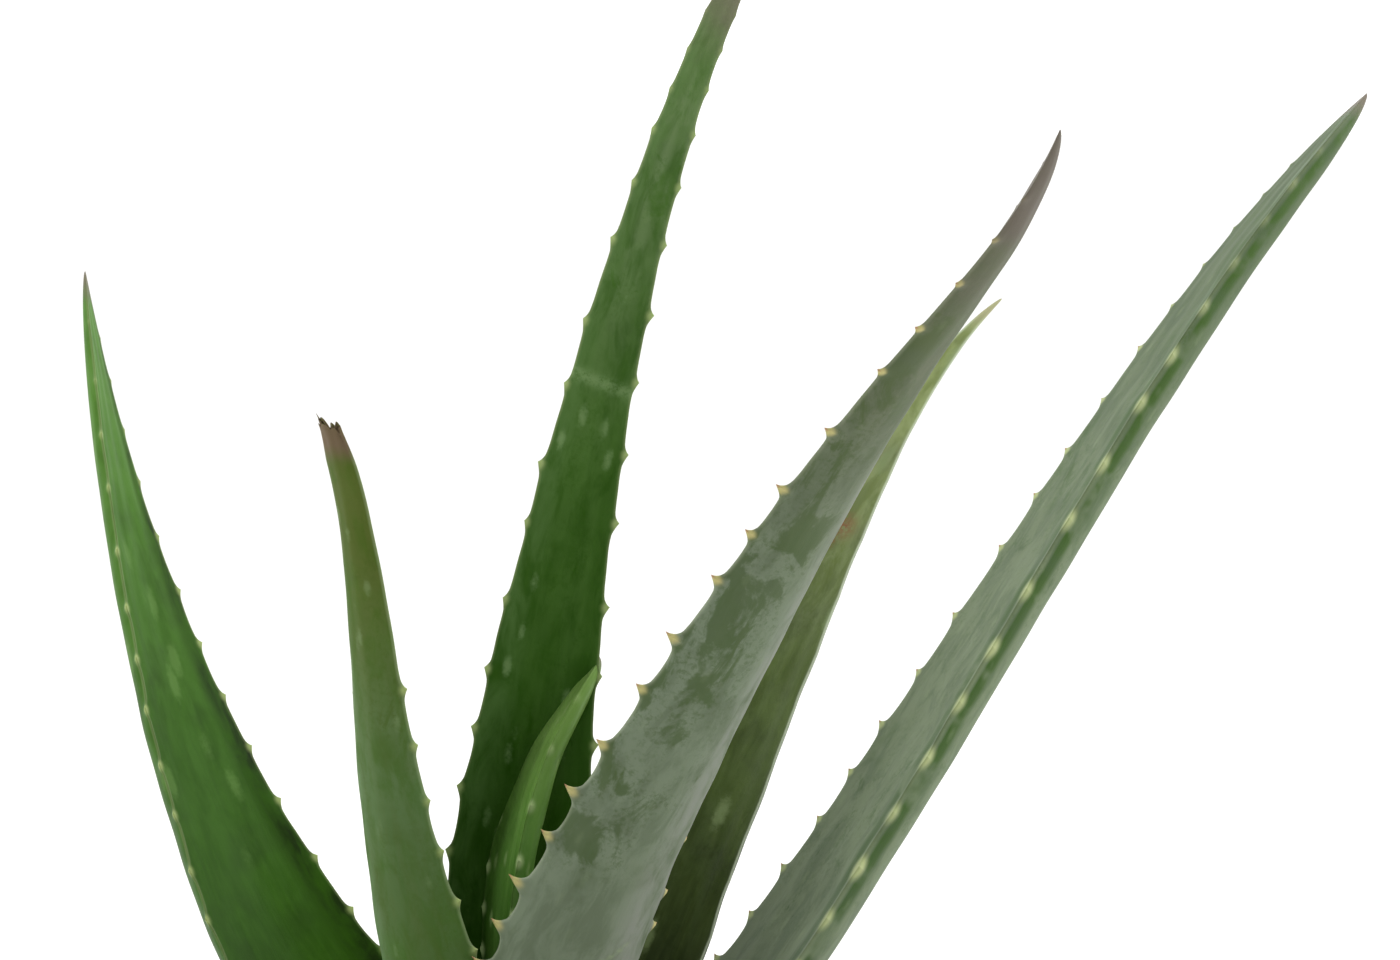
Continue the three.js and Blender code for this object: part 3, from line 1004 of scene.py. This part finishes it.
# Darkened at the foot by painted shade, and yellow-green above, with pale flecks and a pale margin.
SPOTTED = LeafSkin(
    "aloe_skin_dark_spotted", foot="0c1602", core="41531f", upper="7a8a48", bloom="67764f",
    far_bloom="aab38e", fleck="77885c", margin="c2ccb4", tooth="8e9a66", dry="a3a07a", inner_bloom=0.35,
    speckle=0.5, streaks=0.1, flecks=0.7, fleck_size=9.0, fleck_reach=0.44, foot_from=0.14, foot_to=0.5,
    base_bloom=0.2, margin_line=0.7, dry_from=0.955, spots=0.8, sheen=0.1,
)


# The short older leaves spread low round the stem, and share a shape.
LOW_SHAPE = {"seat_radius": 8, "width": 38, "taper": 0.8, "tip_share": 0.1, "thickness": 0.3, "channel": 0.12}
LOW_GREY = {"skin": GLAUCOUS, "slot": "leaf_grey_green", **LOW_SHAPE}
LOW_GREEN = {"skin": GREEN, "slot": "leaf_green", **LOW_SHAPE}

# From the young centre leaf out, and then the low ones.
LEAVES = [
    Leaf(
        "leaf_young_centre", YOUNG, "leaf_green", bearing=40, seat_radius=2, seat_rise=25, length=136,
        width=22, taper=0.3, tip_share=0.6, thickness=0.34, channel=0.11, lean=[-23, -3, 12, 24, 56],
        sweep=[8, 3, 2], twist=[19, 18], seed=2, tooth_pitch=(14, 10), tooth_length=(1.2, 1.2),
        spot=(2.2, 1.9), side_shade_and_sheen=(0.6, 0.0, 0.9), tooth_places={-1: (48, 62, 76, 90, 105, 120)},
    ),
    Leaf(
        "leaf_tall_back", TALL, "leaf_green", bearing=95, seat_radius=6, seat_rise=21, length=333, width=51,
        taper=1.6, tip_share=0.14, thickness=0.25, channel=0.12, lean=[7, 1, 2, 14, 31],
        sweep=[8, -18, -7.5, -29], twist=[0, -22], seed=3, scars=[(201, 1.8, 0.12, 0.45, 0, 40)],
        side_shade_and_sheen=(0.6, 0.25, 0.8),
        tooth_places={
            1: (63, 78, 94, 109, 124, 142, 162, 177, 198, 215, 237, 253, 268, 280, 292, 304, 314),
            -1: (58, 74, 91, 108, 126, 144, 166, 184, 203, 221, 240, 256, 271, 284, 296, 307, 317),
        },
    ),
    Leaf(
        "leaf_torn_tip", TORN, "leaf_green", bearing=212, seat_radius=8, seat_rise=15, length=212, width=42,
        taper=1.5, tip_share=0.25, thickness=0.28, channel=0.12, lean=[12, 26, 13, -2, 31],
        sweep=[-5, 6, 17], twist=[-31, -5], tip=Tip.TORN, seed=4, teeth_end=75,
        side_shade_and_sheen=(-0.65, 0.25, 0.9), tooth_places={1: (54, 68, 82, 96, 110, 125, 140)},
    ),
    Leaf(
        "leaf_front", GLAUCOUS, "leaf_grey_green", bearing=-55, seat_radius=9, seat_rise=15, length=335,
        width=40, taper=0.5, tip_share=0.16, thickness=0.28, channel=0.12, lean=[-8, 50, 33, 2, 75, 45],
        sweep=[-11, 21, 15, -13], twist=[35, -47], seed=5, tooth_length=(2.4, 5.4),
        rub_zone=(0.3, 0.9, 0.45), side_shade_and_sheen=(0.75, -0.1, 0.6), scars=[(72.6, 0.8, 1.0, 0.6, 4, 6)],
        tooth_places={
            1: (36, 52, 66, 80, 90, 106, 121, 137, 154, 171, 188, 206, 224, 243, 262, 281, 300, 318),
            -1: (36, 49, 62, 74, 87, 102, 116, 131, 149, 165, 184, 199, 214, 234, 256, 272, 289, 305, 318),
        },
        rubs=(
            (181, -12, 0.5), (196, -5, 0.6), (209, -4, 0.6), (170, -9, 0.45), (156, -7, 0.4),
            (107, -14.5, 1.1), (227, -1, 0.6), (238, 1, 0.6), (264, -9, 0.6), (124, -15, 0.4),
        ),
    ),
    Leaf(
        "leaf_right_inner", SPOTTED, "leaf_dark_green", bearing=20, seat_radius=9, seat_rise=13, length=272,
        width=39, taper=1.1, tip_share=0.07, thickness=0.24, channel=0.12, lean=[17, 31, 36, 18, 60],
        sweep=[1, 9, 18], twist=[-44, -27], seed=6, tooth_length=(1.6, 0.3),
        blemishes=[(189, 1.0, 3.2), (184, 3.0, 1.6)],
    ),
    Leaf(
        "leaf_far_left", GREEN, "leaf_green", bearing=155, seat_radius=8, seat_rise=11, length=283,
        width=56, taper=0.77, tip_share=0.1, thickness=0.28, channel=0.12, lean=[55, 37, 28, 23, 18],
        sweep=[3, -13, -13], twist=[41, -28], seed=7, side_shade_and_sheen=(-0.95, 0.5, 0.95),
        tooth_places={-1: (59, 75, 90, 108, 127, 144, 160, 176, 192, 208, 224, 239, 253, 265)},
    ),
    Leaf(
        "leaf_far_right", KEELED, "leaf_grey_green", bearing=32, seat_radius=9, seat_rise=7, length=372,
        width=35, taper=0.34, tip_share=0.12, thickness=0.4, channel=0.05, lean=[38, 30, 32, 37, 56],
        sweep=[-19, -5, 4], twist=[0, 22], seed=8, spot=(3.6, 1.8), spotted_margins=(-1,),
        tooth_length=(3.2, 1.2),
        tooth_places={
            1: (60, 75, 90, 105, 121, 136, 151, 168, 186, 208, 225, 240, 257, 275, 290, 305, 319, 332, 344),
            -1: (57, 72, 87, 102, 117, 133, 149, 165, 181, 198, 219, 236, 255, 270, 286, 301, 316, 330, 343),
        },
    ),
    Leaf(
        "leaf_low_front", bearing=258, seat_rise=10, length=165, lean=[48, 66, 62, 44], sweep=[0, 5],
        twist=[0, 4], seed=9, **LOW_GREY,
    ),
    Leaf(
        "leaf_low_right", bearing=348, seat_rise=8, length=160, lean=[52, 74, 74, 60], sweep=[0, -6],
        twist=[0, -5], seed=10, **LOW_GREY,
    ),
    Leaf(
        "leaf_low_back_left", bearing=122, seat_rise=8, length=150, lean=[50, 76, 78, 64], sweep=[0, -4],
        twist=[0, 4], seed=11, **LOW_GREEN,
    ),
    Leaf(
        "leaf_low_back_right", bearing=68, seat_rise=7, length=150, lean=[48, 68, 70, 58], sweep=[0, 6],
        twist=[0, -4], seed=12, **{**LOW_GREEN, "width": 36},
    ),
    Leaf(
        "leaf_low_left", bearing=190, seat_rise=7, length=150, lean=[50, 70, 70, 52], sweep=[0, 5],
        twist=[0, 4], seed=13, **LOW_GREEN,
    ),
]


@dataclass
class Rosette:
    """All the leaves on the stem. Millimetres above the pot's underside."""

    soil_top: float
    leaves: list[Leaf]

    def build(self) -> None:
        """Models and dresses every leaf."""
        for leaf in self.leaves:
            leaf.build(self.soil_top)


@dataclass
class Stem:
    """The short stem: ringed with the scars of shed leaves, in millimetres above the pot's underside."""

    radius: float = 12.0
    foot_radius: float = 8.5
    ring_spacing: float = 5.0
    ring_height: float = 0.8
    columns: int = 48

    def build(self) -> None:
        """Models the stem inside its plain solid's box and dresses it."""
        low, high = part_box("stem")
        bottom, top = low[2] / MM, high[2] / MM
        z = np.linspace(bottom, top, 140)
        up = (z - bottom) / (top - bottom)
        radius = self.foot_radius + (self.radius - self.foot_radius) * smooth(up, 0, 0.5)
        radius = radius * np.sqrt(np.clip(1 - smooth(up, 0.72, 1.0) ** 1.5, 0, 1))
        rings = 0.5 + 0.5 * np.sin(2 * math.pi * z / self.ring_spacing)
        radius = radius - self.ring_height * rings * (up < 0.9)
        radius = np.clip(radius, 0.05, None)
        angle = np.linspace(0, 2 * math.pi, self.columns + 1)
        radius, z = radius[:, None], np.repeat(z[:, None], len(angle), 1)
        skin = np.stack([radius * np.cos(angle), radius * np.sin(angle), z], -1)
        ends = [np.zeros((1, len(angle), 3)) + np.array([0, 0, value]) for value in (bottom, top)]
        piece = rolled_grid("aloe_stem", np.concatenate([ends[0], skin, ends[1]]) * MM, {})
        hand_over(piece, "stem", CORK.material())


@dataclass
class PottingMix:
    """Gritty potting mix: a lumpy dark surface strewn with crumbs, white grit and bark. Millimetres."""

    lump_height: float = 1.4
    crumbs: int = 650
    grit: int = 150
    bark: int = 70
    mound_fall: float = 3.0
    edge_dip: float = 2.0
    dip_reach: float = 4.0
    bare_edge: float = 2.5
    foot_share: float = 0.68
    seed: int = 21

    def surface(self, x: Array, y: Array) -> Array:
        """Returns the lumps' height over the mix's even mound, in millimetres."""
        lumps = np.sin(x / 3.1 + 1.3) * np.cos(y / 2.7) + np.sin((x + y) / 4.9) * np.cos((x - y) / 3.6 + 0.7)
        fine = np.sin(x / 1.1 + y / 1.7) * np.cos(y / 0.9 - x / 2.3)
        return self.lump_height * (0.4 * lumps + 0.18 * fine)

    def mound(self, radius: Array) -> Array:
        """Returns the even mound's height at a radius, in millimetres above the pot's underside."""
        _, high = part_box("soil")
        top, reach = high[2] / MM, high[0] / MM
        dip = self.edge_dip * smooth(radius, reach - self.dip_reach, reach)
        return top - self.mound_fall * (radius / reach) ** 2 - dip

    def build(self) -> None:
        """Models the mix and what lies on it."""
        low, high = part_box("soil")
        reach, bottom = high[0] / MM, low[2] / MM
        angle = np.linspace(0, 2 * math.pi, 241)
        radii = np.linspace(0.2, reach, 90)[::-1]
        rows = []
        foot = reach * self.foot_share
        for radius, z in ((0.1, bottom), (foot, bottom), (foot + 1, bottom + 2)):
            x, y = radius * np.cos(angle), radius * np.sin(angle)
            rows.append(np.stack([x, y, np.full_like(angle, z)], -1))
        for radius in radii:
            x, y = radius * np.cos(angle), radius * np.sin(angle)
            lumps = self.surface(x, y) * float(1 - smooth(np.array(radius), reach - 2, reach))
            z = self.mound(np.full_like(angle, radius)) + lumps - self.lump_height
            rows.append(np.stack([x, y, z], -1))
        rows = [0 * rows[0] + rows[0].mean(0)] + rows + [0 * rows[0] + rows[-1].mean(0)]
        piece = rolled_grid("potting_mix", np.array(rows) * MM, {})
        hand_over(piece, "soil", PEAT.material())
        rng = random.Random(self.seed)
        self.strew(rng, "soil_crumbs", self.crumbs, (0.9, 2.6), (1, 0.9, 0.75), CRUMB)
        self.strew(rng, "soil_white_grit", self.grit, (1.2, 3.0), (1, 0.85, 0.8), PUMICE)
        self.strew(rng, "soil_bark_chips", self.bark, (2.5, 5.5), (1, 0.45, 0.22), BARK)

    def strew(
        self, rng: random.Random, name: str, count: int, sizes: tuple[float, float],
        shape: tuple[float, float, float], finish: MineralFinish,
    ) -> None:
        """Strews copies of one lump over the mix and joins them.

        Args:
            rng: the mix's own source of chance.
            name: the joined piece's name.
            count: how many lumps.
            sizes: their smallest and largest length, in millimetres.
            shape: their length, breadth and height as shares of the length.
            finish: what they are made of.
        """
        deselect()
        bpy.ops.mesh.primitive_uv_sphere_add(segments=8, ring_count=5, radius=0.5 * MM)
        first = bpy.context.object
        for vertex in first.data.vertices:
            vertex.co *= 1 + rng.uniform(-0.22, 0.22)
        _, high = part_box("soil")
        reach = high[0] / MM - self.bare_edge
        pieces = []
        for _ in range(count):
            copy = first.copy()
            copy.data = first.data.copy()
            bpy.context.collection.objects.link(copy)
            radius = reach * math.sqrt(rng.uniform(0.06, 1))
            turn = rng.uniform(0, 2 * math.pi)
            x, y = radius * math.cos(turn), radius * math.sin(turn)
            size = sizes[0] + (sizes[1] - sizes[0]) * rng.random() ** 2
            copy.scale = [size * share * rng.uniform(0.85, 1.15) for share in shape]
            copy.rotation_euler = (rng.uniform(-0.5, 0.5), rng.uniform(-0.5, 0.5), rng.uniform(0, 6.28))
            z = float(self.mound(np.array(radius))) + float(self.surface(np.array(x), np.array(y)))
            copy.location = Vector((x, y, z - self.lump_height + 0.25 * size * shape[2])) * MM
            pieces.append(copy)
        bpy.data.objects.remove(first)
        deselect()
        for copy in pieces:
            copy.select_set(True)
        bpy.context.view_layer.objects.active = pieces[0]
        bpy.ops.object.join()
        heap = bpy.context.object
        heap.name = name
        heap.data.name = name
        settle(heap)
        bpy.ops.object.shade_smooth()
        hand_over(heap, "", finish.material())


@dataclass
class Pot:
    """A plain thrown terracotta pot with a rim band, in millimetres."""

    rim_band: float = 24.0
    rim_step: float = 4.0
    wall: float = 6.0
    floor: float = 7.0
    base_radius: float = 43.0
    edge: float = 1.6
    softening: float = 0.7
    hole_radius: float = 4.5
    hole_ring: float = 22.0
    hole_count: int = 3
    sides: int = 160

    def build(self) -> None:
        """Models the pot to its plain solid's box and dresses it."""
        _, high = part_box("pot")
        rim, height = high[0] / MM, high[2] / MM
        top = rim - self.rim_step

        def outer(z: float) -> float:
            """Returns the outer wall's radius at a height."""
            return self.base_radius + (top - self.base_radius) * z / height

        band = height - self.rim_band
        e = self.edge
        profile = [
            (self.base_radius - e, 0), (self.base_radius, e), (outer(band * 0.5), band * 0.5),
            (outer(band), band), (rim - e, band), (rim, band + e), (rim, height - e), (rim - e, height),
            (outer(height) - self.wall + e, height), (outer(height) - self.wall, height - e),
            (outer(self.floor) - self.wall, self.floor + e), (outer(self.floor) - self.wall - e, self.floor),
        ]
        piece = self.turn(profile)
        for k in range(self.hole_count):
            turn = 2 * math.pi * k / self.hole_count
            place = (self.hole_ring * MM * math.cos(turn), self.hole_ring * MM * math.sin(turn), 0)
            bpy.ops.mesh.primitive_cylinder_add(
                vertices=32, radius=self.hole_radius * MM, depth=4 * self.floor * MM, location=place
            )
            drill = bpy.context.object
            cut = piece.modifiers.new("drain", "BOOLEAN")
            cut.object = drill
            cut.solver = "EXACT"
            apply_modifiers(piece)
            bpy.data.objects.remove(drill)
        rounding = piece.modifiers.new("softened_edges", "BEVEL")
        rounding.width = self.softening * MM
        rounding.segments = 3
        rounding.limit_method = "ANGLE"
        rounding.angle_limit = math.radians(28)
        apply_modifiers(piece)
        choose(piece)
        bpy.ops.object.shade_smooth_by_angle(angle=math.radians(24))
        hand_over(piece, "pot", TERRACOTTA.material())

    def turn(self, profile: list[tuple[float, float]]) -> Piece:
        """Raises a disc through a profile of radii and heights, as a potter pulls up a wall.

        Args:
            profile: the radii and heights, from the foot over the rim to the inside floor.

        Returns:
            The closed pot.
        """
        radius, z = profile[0]
        deselect()
        bpy.ops.mesh.primitive_circle_add(
            vertices=self.sides, radius=radius * MM, location=(0, 0, z * MM), fill_type="NGON"
        )
        piece = bpy.context.object
        piece.name = "terracotta_pot"
        piece.data.name = piece.name
        bpy.ops.object.mode_set(mode="EDIT")
        bpy.ops.mesh.select_all(action="SELECT")
        for next_radius, next_z in profile[1:]:
            bpy.ops.mesh.extrude_region_move(TRANSFORM_OT_translate={"value": (0, 0, (next_z - z) * MM)})
            share = next_radius / radius
            bpy.ops.transform.resize(value=(share, share, 1), center_override=(0, 0, next_z * MM))
            radius, z = next_radius, next_z
        bpy.ops.mesh.select_all(action="SELECT")
        bpy.ops.mesh.normals_make_consistent(inside=False)
        bpy.ops.object.mode_set(mode="OBJECT")
        return settle(piece)


# ---- Studio ----


@dataclass
class Studio:
    """A white studio: an even bright surround, two soft side lights and a pale floor. Metres."""

    aim: tuple[float, float, float] = (0.04375, 0.0, 0.2875)
    distance: float = 1.0
    pitch: float = 6.0
    lens: float = 102.86
    surround: float = 1.35
    room: float = 0.45
    floor_size: float = 40.0
    floor_gap: float = 0.0005

    def camera(self) -> None:
        """Sets the camera level with the middle of the leaves, looking a little down along +Y."""
        tilt = math.radians(self.pitch)
        data = bpy.data.cameras.new("camera")
        data.lens = self.lens
        data.sensor_width = 36.0
        data.clip_end = 60.0
        eye = bpy.data.objects.new("camera", data)
        bpy.context.collection.objects.link(eye)
        eye.location = Vector(self.aim) + self.distance * Vector((0, -math.cos(tilt), math.sin(tilt)))
        eye.rotation_euler = (math.radians(90) - tilt, 0, 0)
        bpy.context.scene.camera = eye

    def lights(self) -> None:
        """Adds the surround and the two soft side lights."""
        world = bpy.data.worlds.new("studio")
        paint = Painter.of(world)
        way = add_node(paint.tree, "TexCoord").outputs["Generated"]
        parts = add_node(paint.tree, "SeparateXYZ", {0: way}).outputs
        back = paint.calc("ADD", parts[1], paint.times(parts[2], 0.7))
        level = paint.ramp(back, -0.5, 0.4, self.room, self.surround)
        shade = add_node(paint.tree, "Background", {"Color": (1, 1, 1, 1), "Strength": level})
        add_node(paint.tree, "OutputWorld", {"Surface": shade.outputs[0]})
        bpy.context.scene.world = world
        for name, place, power, size in (
            ("left_softbox", (-1.3, 0.35, 1.0), 9.0, 1.0),
            ("right_softbox", (1.4, 0.25, 1.0), 11.0, 1.0),
        ):
            data = bpy.data.lights.new(name, "AREA")
            data.energy = power
            data.size = size
            lamp = bpy.data.objects.new(name, data)
            bpy.context.collection.objects.link(lamp)
            lamp.location = place
            lamp.rotation_euler = (Vector(self.aim) - lamp.location).to_track_quat("-Z", "Y").to_euler()

    def floor(self) -> None:
        """Lays the pale matt floor that the pot stands on."""
        deselect()
        bpy.ops.mesh.primitive_plane_add(size=self.floor_size, location=(0, 0, -self.floor_gap))
        sheet = bpy.context.object
        sheet.name = "studio_floor"
        # A matt white paper sweep: bright enough that it meets the surround with no visible line.
        paper = bpy.data.materials.new("white_backdrop_paper")
        Painter.of(paper).surface(
            {"Base Color": linear("f4f4f2"), "Roughness": 0.9, "Specular IOR Level": 0.1}
        )
        sheet.data.materials.append(paper)

    def build(self) -> None:
        """Sets up the whole studio."""
        scene = bpy.context.scene
        scene.view_settings.view_transform = "Standard"
        scene.view_settings.look = "None"
        self.camera()
        self.lights()
        self.floor()


def main() -> None:
    """Builds the studio and the plant."""
    logging.basicConfig(level=logging.INFO, format="%(name)s: %(message)s")
    Studio().build()
    soil_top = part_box("stem")[1][2] / MM - STEM_HEIGHT
    Pot().build()
    PottingMix().build()
    Stem().build()
    Rosette(soil_top, LEAVES).build()


if __name__ == "__main__":
    main()
